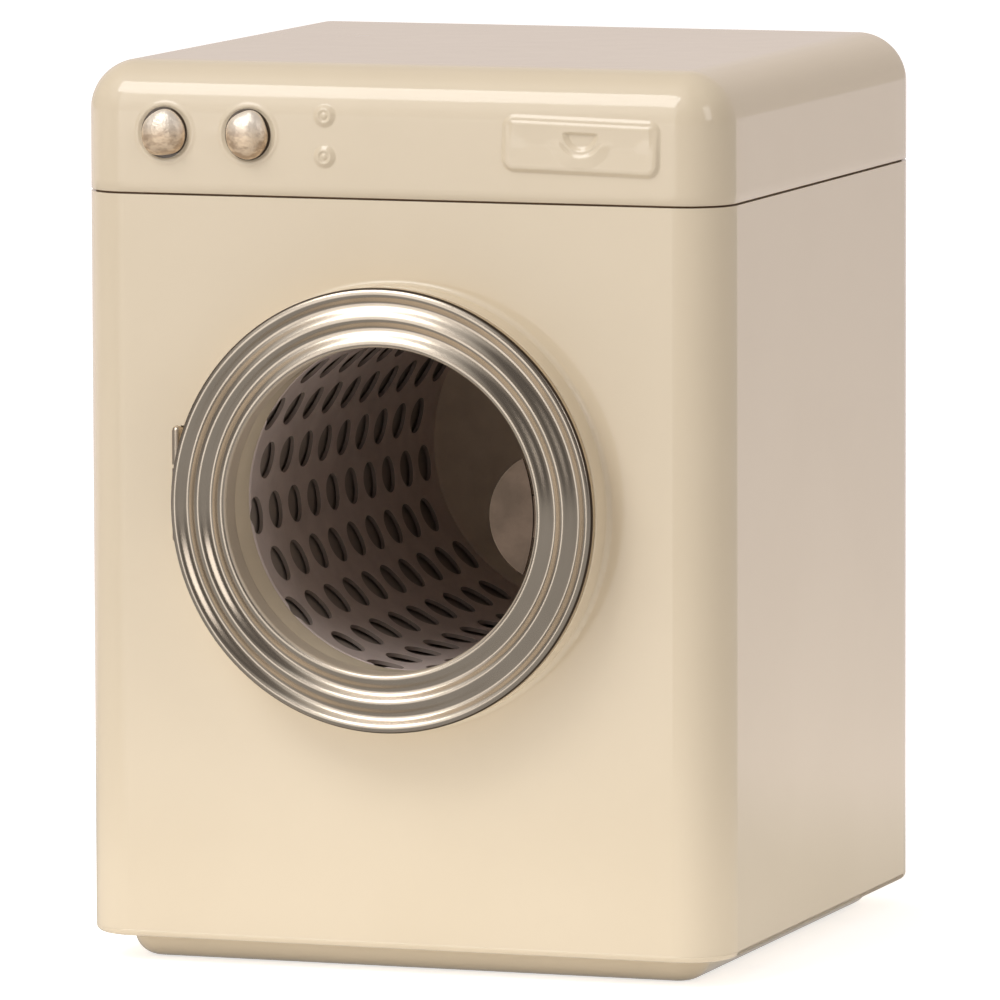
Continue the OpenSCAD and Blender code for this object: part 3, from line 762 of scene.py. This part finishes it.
def levels(low: float, high: float, coarse: float, fine: float,
           spans: Sequence[tuple[float, float, int]]) -> np.ndarray:
    """Rising levels, fine within the spans and coarse between them.

    Args:
        low: The first level.
        high: The last level.
        coarse: Spacing outside the spans.
        fine: Spacing inside them.
        spans: Lowest and highest place of each span, and how many fine steps lie between its levels.

    Returns:
        The levels in order.
    """
    dense = np.linspace(low, high, int(round((high - low) / fine)) + 1)
    inside = np.zeros(len(dense), dtype=bool)
    for start, end, every in spans:
        inside |= (dense > start) & (dense < end) & (np.arange(len(dense)) % every == 0)
    stride = max(int(round(coarse / fine)), 1)
    inside[::stride] = True
    inside[[0, -1]] = True
    return dense[inside]


# Sub-assemblies

@dataclass(frozen=True)
class Layout:
    """The machine's main measures in millimetres, which all the pieces share."""

    width: float = 100.0
    depth: float = 97.2
    seam_z: float = 114.4
    crown_z: float = 133.9
    corner_r: float = 7.5
    sheet: float = 0.7
    seam_gap: float = 0.3
    axis_z: float = 69.6
    dial_z: float = 123.6
    dial_x: Pair = (-36.0, -22.9)
    dial_shade_x: float = -0.12

    @property
    def front_y(self) -> float:
        """The front's plane."""
        return -self.depth / 2

    @property
    def core(self) -> Pair:
        """Half the width and half the depth up to where the rounded corners begin."""
        return self.width / 2 - self.corner_r, self.depth / 2 - self.corner_r


class Finish(Enum):
    """The finishes that the pieces are given, by the names of their materials."""

    PAINT = "cream_enamel"
    COVER = "cover_enamel"
    SEAM = "seam_steel"
    SPUN = "spun_nickel"
    TAB = "tab_nickel"
    NICKEL = "hinge_nickel"
    DRUM = "drum_plating"
    DRUM_BACK = "drum_back_plating"
    TUB = "tub_enamel"
    DIAL = "dial_metal"
    ZINC = "zinc_plating"
    BRASS = "bush_brass"


class Workshop:
    """Holds the frame's nodes and the finishes, and dresses and mounts the pieces."""

    def __init__(self, nodes: dict[str, bpy.types.Object], layout: Layout) -> None:
        """Build every finish.

        Args:
            nodes: The frame's nodes by name.
            layout: The machine's measures.
        """
        self.nodes = nodes
        self.layout = layout
        # Centres of the painted shade under the dials' rims, set a little left of each dial's centre
        shaded_seats = tuple(((x + layout.dial_shade_x) * MM, layout.dial_z * MM) for x in layout.dial_x)
        enamel = ((0.79, 0.685, 0.515), (0.775, 0.67, 0.50))
        finishes = {
            Finish.PAINT: Enamel(*enamel),
            Finish.COVER: Enamel(*enamel, shaded_seats=shaded_seats),
            Finish.SEAM: PlainMetal((0.21, 0.13, 0.08), (0.18, 0.11, 0.07), roughness=0.5, metallic=0.2),
            Finish.SPUN: SpunMetal((0.56, 0.485, 0.395), (0.52, 0.45, 0.365), layout.axis_z * MM),
            Finish.TAB: PlainMetal((0.16, 0.115, 0.085), (0.13, 0.095, 0.07), roughness=0.3),
            Finish.NICKEL: PlainMetal((0.58, 0.49, 0.385), (0.50, 0.42, 0.33), roughness=0.24),
            Finish.DRUM: DrumSheet((0.72, 0.62, 0.575), (0.64, 0.55, 0.51), centre_z=layout.axis_z * MM),
            Finish.DRUM_BACK: PlainMetal((0.72, 0.60, 0.46), (0.65, 0.54, 0.415), roughness=0.5,
                                         metallic=0.25),
            Finish.TUB: PlainMetal((0.36, 0.31, 0.27), (0.32, 0.27, 0.235), roughness=0.6, metallic=0.0),
            Finish.DIAL: HammeredMetal((0.88, 0.70, 0.50), (0.58, 0.42, 0.28)),
            Finish.ZINC: PlainMetal((0.52, 0.51, 0.48), (0.44, 0.43, 0.40), roughness=0.3),
            Finish.BRASS: PlainMetal((0.72, 0.53, 0.25), (0.60, 0.43, 0.20), roughness=0.3),
        }
        self.made = {finish: look.build(finish.value) for finish, look in finishes.items()}

    def dress(self, finish: Finish, *names: str) -> None:
        """Give frame nodes a finish.

        Args:
            finish: The finish.
            names: The nodes' names.
        """
        for name in names:
            slots = self.nodes[name].data.materials
            slots.clear()
            slots.append(self.made[finish])

    def mount(self, name: str, points: np.ndarray, faces: np.ndarray, finish: Finish, body: str, slot: str,
              *replaced: str) -> None:
        """Make a new piece, let it ride on a body and stand for the nodes that it replaces.

        Args:
            name: Its name.
            points: Array of places in millimetres, three numbers each, of which some may be the same.
            faces: M by 4 array of point numbers.
            finish: Its finish.
            body: The body that it rides on.
            slot: The record's material slot that its finish stands for; it is not used.
            replaced: The nodes that it replaces.
        """
        points, triangles = weld(points.reshape(-1, 3), faces)
        piece = add_mesh(name, points * MM, triangles)
        piece.data.materials.append(self.made[finish])
        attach(piece, body)
        if replaced:
            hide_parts(*replaced)
        log.info("%s on %s, %d faces", piece.name, body, len(piece.data.polygons))


@dataclass
class Part:
    """A piece or sub-assembly, with the workshop that dresses and mounts it."""

    shop: Workshop

    @property
    def layout(self) -> Layout:
        """The machine's measures."""
        return self.shop.layout


@dataclass
class PressedCover(Part):
    """Top cover pressed from one sheet, its drawer, lamps and dial seats raised or sunk in its front."""

    drawer_centre: Pair = (28.6, 123.1)
    drawer_half: Pair = (11.65, 3.75)
    drawer_turn_deg: float = 1.4
    drawer_corner_r: float = 1.5
    drawer_wall: Profile = ((-5.0, 0.22), (-0.55, 0.32), (-0.05, 0.28), (0.45, 0.0))
    low_lift: float = 0.9
    low_margin: float = 0.8
    bead: Profile = ((0.05, 0.0), (0.35, -0.08), (0.85, 0.18), (4.5, 0.0))
    bead_ends: Pair = (0.5, 1.3)
    grip_z: float = 125.0
    grip_r: float = 2.75
    grip_wall: Profile = ((-0.75, -0.5), (0.0, 0.0))
    grip_top: Pair = (-0.1, 0.3)
    grip_lip: Profile = ((0.0, 0.0), (0.3, -0.08), (0.9, 0.24), (2.6, 0.0))
    grip_lip_top: Pair = (1.0, 2.2)
    lamp_x: float = -11.0
    lamp_spacing: float = 6.0
    lamp_wall: Profile = ((0.0, 0.48), (0.25, 0.44), (0.6, 0.22), (0.95, 0.46), (1.7, 0.0))
    seat_edges: Pair = (4.05, 3.75)
    seat_depth: float = 0.15
    seat_rim_r: float = 4.35
    seat_rim_width: float = 0.28
    seat_rim_lift: float = 0.1
    seat_reach: float = 5.0
    lamp_reach: float = 2.4
    grip_reach: float = 4.2
    across_spacing: Pair = (2.5, 0.13)
    upward_spacing: Pair = (1.5, 0.14)
    depth_steps: int = 24
    corner_steps: int = 14
    low_edge_deg: float = 20.0
    low_edge_steps: int = 23
    edge_steps: int = 22
    foot_bevel: float = 0.1
    foot_skirt: float = 4.0

    def lift(self, x: np.ndarray, z: np.ndarray) -> np.ndarray:
        """How far the front stands proud of its plane.

        Each relief is a profile along a distance: from the drawer's rounded outline (the length of what lies
        outside the corner's centre, less its radius), from its top edge, or from a circle's centre.

        Args:
            x: Places across the front in millimetres.
            z: Their heights.

        Returns:
            The lift at each place in millimetres.
        """
        layout = self.layout
        wide, high = self.drawer_half
        turn = math.radians(self.drawer_turn_deg)
        off_x, off_z = x - self.drawer_centre[0], z - self.drawer_centre[1]
        u = off_x * math.cos(turn) - off_z * math.sin(turn)
        v = off_x * math.sin(turn) + off_z * math.cos(turn)
        over_x = np.abs(u) - wide + self.drawer_corner_r
        over_z = np.abs(v) - high + self.drawer_corner_r
        outside = np.hypot(np.maximum(over_x, 0), np.maximum(over_z, 0))
        edge = outside + np.minimum(np.maximum(over_x, over_z), 0) - self.drawer_corner_r
        below = soft_step(v, high - self.low_margin, self.low_margin - high)
        total = along(edge, self.drawer_wall) * (1.0 + self.low_lift * below)
        total += along(high - v, self.bead) * soft_step(wide - np.abs(u), *self.bead_ends)
        drop = self.grip_z - self.drawer_centre[1] - v
        moon = np.hypot(u, drop) - self.grip_r
        total += along(moon, self.grip_wall) * soft_step(drop, *self.grip_top)
        total += along(moon, self.grip_lip) * soft_step(drop, *self.grip_lip_top)
        for side in (-1, 1):
            away = np.hypot(x - self.lamp_x, z - layout.dial_z - side * self.lamp_spacing / 2)
            total += along(away, self.lamp_wall)
        for dial_x in layout.dial_x:
            away = np.hypot(x - dial_x, z - layout.dial_z)
            total -= self.seat_depth * soft_step(away, *self.seat_edges)
            total += self.seat_rim_lift * np.exp(-((away - self.seat_rim_r) / self.seat_rim_width) ** 2)
        return total

    def outline(self) -> tuple[np.ndarray, np.ndarray, int]:
        """Centres and angles round the cover, from the front's left end to the right.

        Returns:
            The centres, the angles of the ways out of them, and the number of points along the front.
        """
        half_x, half_y = self.layout.core
        middle, half = self.drawer_centre[0], self.drawer_half[0]
        spans = [(middle - half - 1, middle - half + 2, 1), (middle + half - 2, middle + half + 1, 1),
                 (middle - self.grip_reach, middle + self.grip_reach, 1), (middle - half, middle + half, 5),
                 (self.lamp_x - self.lamp_reach, self.lamp_x + self.lamp_reach, 1)]
        spans += [(x - self.seat_reach, x + self.seat_reach, 2) for x in self.layout.dial_x]
        across = levels(-half_x, half_x, *self.across_spacing, spans)
        deep = np.linspace(-half_y, half_y, self.depth_steps)
        swing = np.radians(np.linspace(0, 90, self.corner_steps + 1)[1:-1])
        centres, angles = [], []
        for start, xs, ys in ((-90, across, np.full(len(across), -half_y)),
                              (0, np.full(len(deep), half_x), deep),
                              (90, across[::-1], np.full(len(across), half_y)),
                              (180, np.full(len(deep), -half_x), deep[::-1])):
            centres.append(np.stack([xs, ys], axis=1))
            angles.append(np.full(len(xs), math.radians(start)))
            centres.append(np.repeat(centres[-1][-1:], len(swing), axis=0))
            angles.append(math.radians(start) + swing)
        return np.concatenate(centres), np.concatenate(angles), len(across)

    def build(self) -> None:
        """Make the cover and put it in place of the plain one.

        Rows of the outline lead from the skirt's inside over its foot up the wall and round the bend, and a
        grid closes the crown.
        """
        layout = self.layout
        foot = layout.seam_z + layout.seam_gap
        spring = layout.crown_z - layout.corner_r
        r, inner_r, bevel = layout.corner_r, layout.corner_r - layout.sheet, self.foot_bevel
        low = self.drawer_centre[1] - self.drawer_half[1]
        wall = levels(foot + bevel, spring, *self.upward_spacing, [(low - 1, spring, 1)])
        low_bend = np.linspace(0, self.low_edge_deg, self.low_edge_steps)[1:]
        bend = np.radians(np.append(low_bend, np.linspace(self.low_edge_deg, 90, self.edge_steps)[1:]))
        foot_radii = [inner_r, inner_r, inner_r + bevel, r - bevel]
        radii = np.concatenate([foot_radii, np.full(len(wall), r), r * np.cos(bend)])
        foot_heights = [foot + self.foot_skirt, foot + bevel, foot, foot]
        heights = np.concatenate([foot_heights, wall, spring + r * np.sin(bend)])
        centres, turns, front_count = self.outline()
        points = swept(centres, turns, radii, heights)
        rows, columns = points.shape[:2]
        front = points[len(foot_radii):, :front_count]
        front[..., 1] -= self.lift(front[..., 0], front[..., 2])
        across = centres[:front_count, 0]
        deep = np.unique(np.round(centres[:, 1], 9))
        crown = np.stack(np.meshgrid(across, deep), axis=2).reshape(-1, 2)
        crown = np.concatenate([crown, np.full((len(crown), 1), layout.crown_z)], axis=1)
        faces = np.concatenate([grid_faces(rows, columns, True),
                                grid_faces(len(deep), len(across), False) + rows * columns])
        points = np.concatenate([points.reshape(-1, 3), crown])
        self.shop.mount("pressed_cover", points, faces, Finish.COVER, "cabinet", "cream_paint", "top_cover")


@dataclass
class RolledHem(Part):
    """Quarter-round bend that turns the body's walls into its bottom edge."""

    floor_z: float = 3.9
    bend_r: float = 1.0
    steps: int = 12
    corner_steps: int = 18

    def build(self) -> None:
        """Sweep the bend's section, an outer and an inner quarter circle, round the body."""
        layout = self.layout
        half_x, half_y = layout.core
        corners = np.array([[half_x, -half_y], [half_x, half_y], [-half_x, half_y], [-half_x, -half_y]])
        centres = np.repeat(corners, self.corner_steps, axis=0)
        swing = np.linspace(0, math.pi / 2, self.corner_steps)
        turns = np.concatenate([(quarter - 1) * math.pi / 2 + swing for quarter in range(4)])
        bend = np.linspace(0, math.pi / 2, self.steps)
        top, middle = self.floor_z + self.bend_r, layout.corner_r - self.bend_r
        inner_r = self.bend_r - layout.sheet
        radius = np.concatenate([middle + self.bend_r * np.cos(bend), middle + inner_r * np.cos(bend[::-1])])
        height = np.concatenate([top - self.bend_r * np.sin(bend), top - inner_r * np.sin(bend[::-1])])
        points = swept(centres, turns, np.append(radius, radius[0]), np.append(height, height[0]))
        faces = grid_faces(*points.shape[:2], True)[:, ::-1]
        self.shop.mount("rolled_hem", points, faces, Finish.PAINT, "cabinet", "cream_paint")


@dataclass
class Cabinet(Part):
    """Body shell, cover, plinth, back panel and what holds them together."""

    def build(self) -> None:
        """Dress the cabinet's nodes and add the cover and the hem."""
        self.shop.dress(Finish.PAINT, "cabinet_shell", "top_cover", "back_panel", "base_pan")
        self.shop.dress(Finish.ZINC, "back_rivets", "base_rivets", "cover_rivets")
        self.shop.dress(Finish.SEAM, "cover_frame")
        self.shop.dress(Finish.TUB, "tub")
        self.shop.dress(Finish.BRASS, "bearing_bush")
        self.shop.dress(Finish.NICKEL, "hinge_bracket", "hinge_pin")
        for piece in (PressedCover, RolledHem):
            piece(self.shop).build()


@dataclass
class BeadedRing(Part):
    """Stamped ring of the porthole door, one sheet in concentric waves between its rolled edges."""

    hole_r: float = 24.0
    rim_r: float = 32.7
    back: float = 5.9
    flange_end: float = 3.6
    turns: tuple[float, ...] = (31.9, 30.32, 28.27, 26.68, 24.65)
    crest_out: float = 7.7
    valley_out: float = 6.7
    inner_out: float = 6.45
    sheet: float = 0.5
    corner_blur: float = 0.04
    spacing: float = 0.09
    wave_steps: int = 300
    bend_steps: int = 30
    steps: int = 420
    hinge_z: float = 72.1
    notch_half: float = 2.7
    notch_top: float = 6.2
    notch_margin: float = 0.1

    def profile(self) -> np.ndarray:
        """Path of radius and reach, from the skirt's edge over the waves to the flange and back inside.

        The waves are a cosine whose crests and valleys lie at the turns' radii, and a quarter ellipse rolls
        the sheet over on either side of them.

        Returns:
            N by 2 array of radii and reaches.
        """
        radius = np.linspace(self.turns[0], self.turns[-1], self.wave_steps)
        phase = np.interp(-radius, -np.array(self.turns), np.arange(len(self.turns)) * math.pi)
        middle, swing = (self.crest_out + self.valley_out) / 2, (self.crest_out - self.valley_out) / 2
        wave = np.stack([radius, middle + swing * np.cos(phase)], axis=1)
        bend = np.linspace(0, math.pi / 2, self.bend_steps)
        sine, cosine = np.sin(bend), np.cos(bend)
        rim, lip = self.rim_r - self.turns[0], self.turns[-1] - self.hole_r
        outer = np.stack([self.turns[0] + rim * cosine, self.crest_out - rim + rim * sine], axis=1)
        inner = np.stack([self.turns[-1] - lip * sine, self.crest_out - lip + lip * cosine], axis=1)
        outside = np.concatenate([[[self.rim_r, self.back]], outer[:-1], wave, inner[1:],
                                  [[self.hole_r, self.flange_end]]])
        outside = evened(outside, self.spacing, self.corner_blur)
        t, under = self.sheet, self.inner_out
        inside = np.array([[self.hole_r + t, self.flange_end], [self.hole_r + t, under],
                           [self.rim_r - t, under], [self.rim_r - t, self.back]])
        return np.concatenate([outside, inside])

    def build(self) -> None:
        """Turn the profile round the axis, with a notch for the hinge, in place of the plain ring."""
        layout = self.layout
        path = self.profile()
        path = np.concatenate([path, path[:1]])
        turn = np.linspace(0, 2 * math.pi, self.steps, endpoint=False)
        radius, reach = path[:, 0][:, None], path[:, 1][:, None] + np.zeros(self.steps)
        x, up = radius * np.cos(turn), radius * np.sin(turn)
        at_hinge = (x < 0) & (np.abs(up + layout.axis_z - self.hinge_z) < self.notch_half)
        in_skirt = radius > self.rim_r - self.sheet - self.notch_margin
        low_skirt = at_hinge & in_skirt & (reach < self.notch_top)
        reach = np.where(low_skirt, self.notch_top, reach)
        points = np.stack([x, layout.front_y - reach, up + layout.axis_z], axis=2)
        faces = grid_faces(len(path), self.steps, True)
        self.shop.mount("beaded_ring", points, faces, Finish.SPUN, "door", "nickel", "door_ring")


@dataclass
class Door(Part):
    """Porthole door: the beaded ring, its back plate and the finger tab."""

    def build(self) -> None:
        """Dress the door's nodes and add the ring."""
        self.shop.dress(Finish.SPUN, "door_ring", "door_back_plate")
        self.shop.dress(Finish.TAB, "finger_tab")
        BeadedRing(self.shop).build()


@dataclass
class Drum(Part):
    """Perforated drum on its shaft."""

    def build(self) -> None:
        """Dress the drum's nodes."""
        self.shop.dress(Finish.DRUM, "drum_shell")
        self.shop.dress(Finish.DRUM_BACK, "drum_back_plate")
        self.shop.dress(Finish.ZINC, "drum_hub", "drum_shaft", "shaft_washer", "shaft_clip")


@dataclass
class Dial(Part):
    """One hammered dial on its shank."""

    side: str
    number: int
    seed: int
    wide: float = 3.3
    high: float = 3.5
    lumps: float = 0.06
    lobes: int = 4
    egg: float = 0.035
    back: Profile = ((0.35, 0.02), (0.97, 0.02), (1.0, 0.1))
    edge_spacing: float = 0.03
    edge_blur: float = 0.02
    rim: float = 0.7
    rise: float = 1.8
    powers: Pair = (0.85, 1.25)
    facet_count: int = 34
    facet_depth: float = 0.05
    facet_r: float = 1.0
    facet_start: float = 0.5
    rings: int = 44
    steps: int = 144

    def surface(self) -> np.ndarray:
        """Places of the dial round its own centre, from the back of its rim to its crown.

        The dome's radius and reach are powers of a cosine and a sine. The outline is a circle with a few
        sine waves, and the facets are squares of the distance from the nearest of the random sites.

        Returns:
            Array of rings by steps by 3, with the places across, out and up.
        """
        draw = np.random.default_rng(self.seed)
        turn = np.linspace(0, 2 * math.pi, self.steps, endpoint=False)
        edge = evened(np.array([*self.back, (1.0, self.rim)]), self.edge_spacing, self.edge_blur)
        tilt = np.linspace(0, 1, self.rings)[1:] * math.pi / 2
        shrink, swell = self.powers
        dome = np.stack([np.cos(tilt) ** shrink, self.rim + self.rise * np.sin(tilt) ** swell], axis=1)
        path = np.concatenate([edge, dome])
        radius, reach = path[:, 0][:, None], path[:, 1][:, None]
        phases = draw.uniform(0, 2 * math.pi, self.lobes)
        waves = (np.sin(k * turn + phase) / k for k, phase in enumerate(phases, start=2))
        outline = 1 + self.lumps * sum(waves)
        x = self.wide * radius * np.cos(turn) * outline * (1 - self.egg * np.sin(turn))
        z = self.high * radius * np.sin(turn) * outline
        sites = draw.uniform(-1, 1, (self.facet_count, 2)) * np.array([self.wide, self.high])
        away = np.min(np.hypot(x[..., None] - sites[:, 0], z[..., None] - sites[:, 1]), axis=2)
        dish = np.minimum(away / self.facet_r, 1.0) ** 2 - 0.5
        out = reach + soft_step(reach, self.rim, self.rim + self.facet_start) * self.facet_depth * dish
        return np.stack([x, out, z], axis=2)

    def build(self) -> None:
        """Make the dial and put it in place of the plain one."""
        layout = self.layout
        shape = self.surface()
        points = np.stack([layout.dial_x[self.number] + shape[..., 0], layout.front_y - shape[..., 1],
                           layout.dial_z + shape[..., 2]], axis=2)
        faces = grid_faces(*points.shape[:2], True)
        self.shop.mount(f"hammered_{self.side}_dial", points, faces, Finish.DIAL, f"{self.side}_knob",
                        "dial_metal", f"{self.side}_dial")
        self.shop.dress(Finish.DIAL, f"{self.side}_dial")
        self.shop.dress(Finish.ZINC, f"{self.side}_dial_shank", f"{self.side}_dial_washer")


@dataclass
class ToyWasher:
    """The whole machine."""

    layout: Layout = Layout()

    def build(self, nodes: dict[str, bpy.types.Object]) -> None:
        """Build every sub-assembly.

        Args:
            nodes: The frame's nodes by name.
        """
        shop = Workshop(nodes, self.layout)
        dials = Dial(shop, "left", number=0, seed=11), Dial(shop, "right", number=1, seed=5)
        for part in (Cabinet(shop), Door(shop), Drum(shop), *dials):
            part.build()


def main() -> None:
    """Load the frame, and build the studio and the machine."""
    logging.basicConfig(level=logging.INFO, format="%(name)s: %(message)s")
    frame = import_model()
    bpy.context.scene.view_settings.view_transform = "Standard"
    PhotoCamera().build()
    Studio().build()
    ToyWasher().build(frame["nodes"])


if __name__ == "__main__":
    main()
